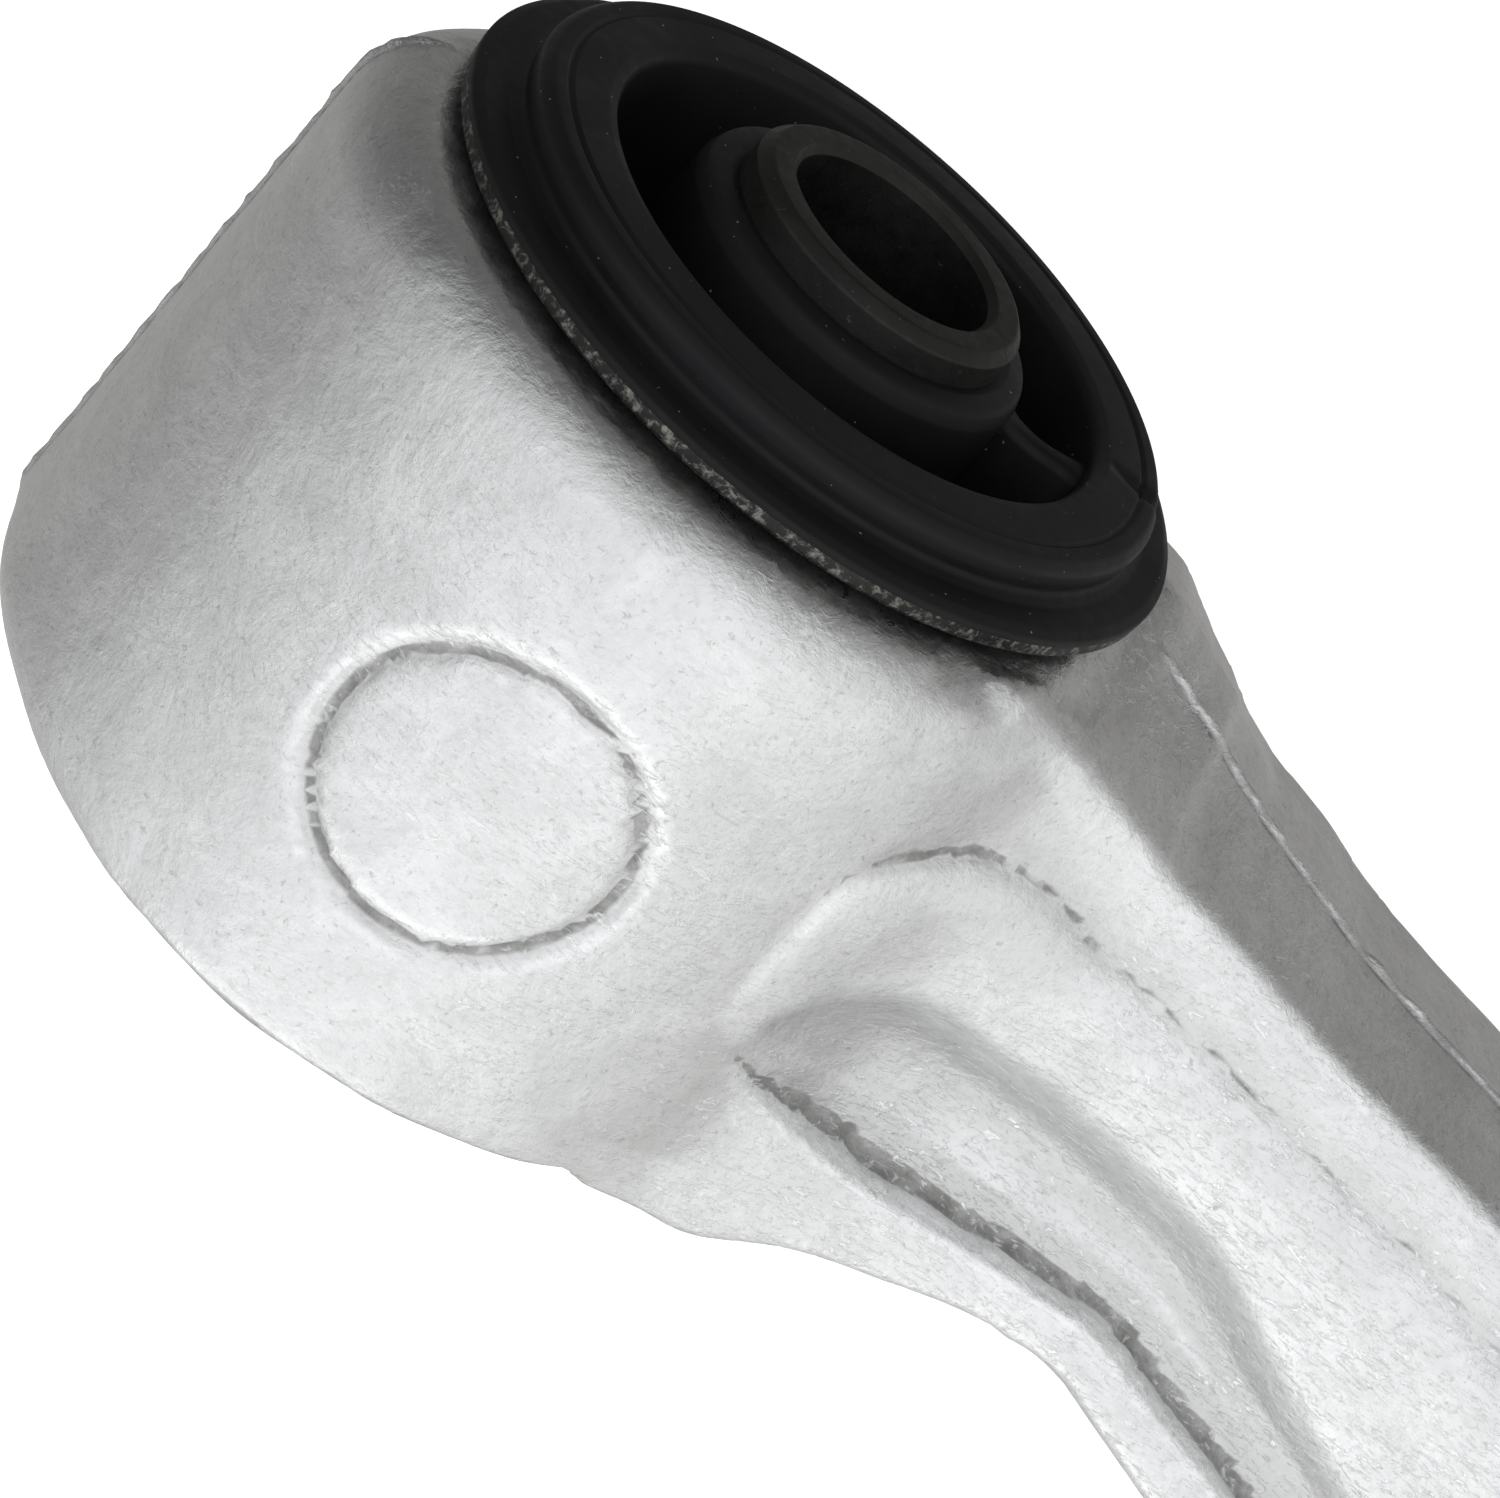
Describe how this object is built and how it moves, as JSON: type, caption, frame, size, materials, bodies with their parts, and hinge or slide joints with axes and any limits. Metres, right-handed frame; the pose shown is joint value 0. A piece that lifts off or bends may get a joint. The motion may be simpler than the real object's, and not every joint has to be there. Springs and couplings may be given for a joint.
{
  "type": "control arm",
  "caption": "Curved forged aluminium suspension control arm with a pressed-in rubber bush at one end and a sealed ball joint with a tapered threaded stud at the other.",
  "frame": {"origin": "middle of the bush bore, on its axis", "axes": "+Y along the bush bore towards the flanged end of the bush, +X towards the ball joint, +Z along the ball stud"},
  "size_m": [0.4103, 0.0909, 0.1093],
  "materials": {
    "forging": "shot-blasted forging",
    "sleeve_steel": "phosphated",
    "rubber": "satin moulded",
    "inner_steel": "phosphated, oiled",
    "housing_steel": "black coated",
    "circlip_steel": "oil-blackened",
    "seat_plastic": "moulded acetal",
    "pad_rubber": "matt",
    "cover_steel": "zinc plated",
    "stud_steel": "ground and zinc plated",
    "boot_rubber": "satin",
    "ring_steel": "spring wire"
  },
  "bodies": {
    "arm": {"arm_forging": "forging", "bush_outer_sleeve": "sleeve_steel", "bush_rubber": "rubber", "joint_housing": "housing_steel", "joint_circlip": "circlip_steel", "ball_seat": "seat_plastic", "preload_ring": "pad_rubber", "joint_cover": "cover_steel", "boot_lower_ring": "ring_steel"},
    "bush_core": {"bush_inner_sleeve": "inner_steel"},
    "boot": {"dust_boot": "boot_rubber"},
    "boot_collar": {"boot_upper_ring": "ring_steel"},
    "stud": {"ball_stud": "stud_steel"}
  },
  "joints": [
    {"name": "bush_twist", "type": "hinge", "parent": "arm", "child": "bush_core", "pos_m": [0, 0, 0], "axis": [0, 1, 0], "range_deg": [-20, 20], "stiffness_Nm_per_rad": 60, "deforming": ["bush_rubber"]},
    {"name": "ball_tilt_x", "type": "hinge", "parent": "arm", "child": "boot", "pos_m": [0.35, -0.032, 0], "axis": [1, 0, 0], "range_deg": [-14, 14], "deforming": ["dust_boot"]},
    {"name": "ball_tilt_y", "type": "hinge", "parent": "boot", "child": "boot_collar", "pos_m": [0.35, -0.032, 0], "axis": [0, 1, 0], "range_deg": [-14, 14]},
    {"name": "stud_spin", "type": "hinge", "parent": "boot_collar", "child": "stud", "pos_m": [0.35, -0.032, 0], "axis": [0, 0, 1], "continuous": true}
  ]
}
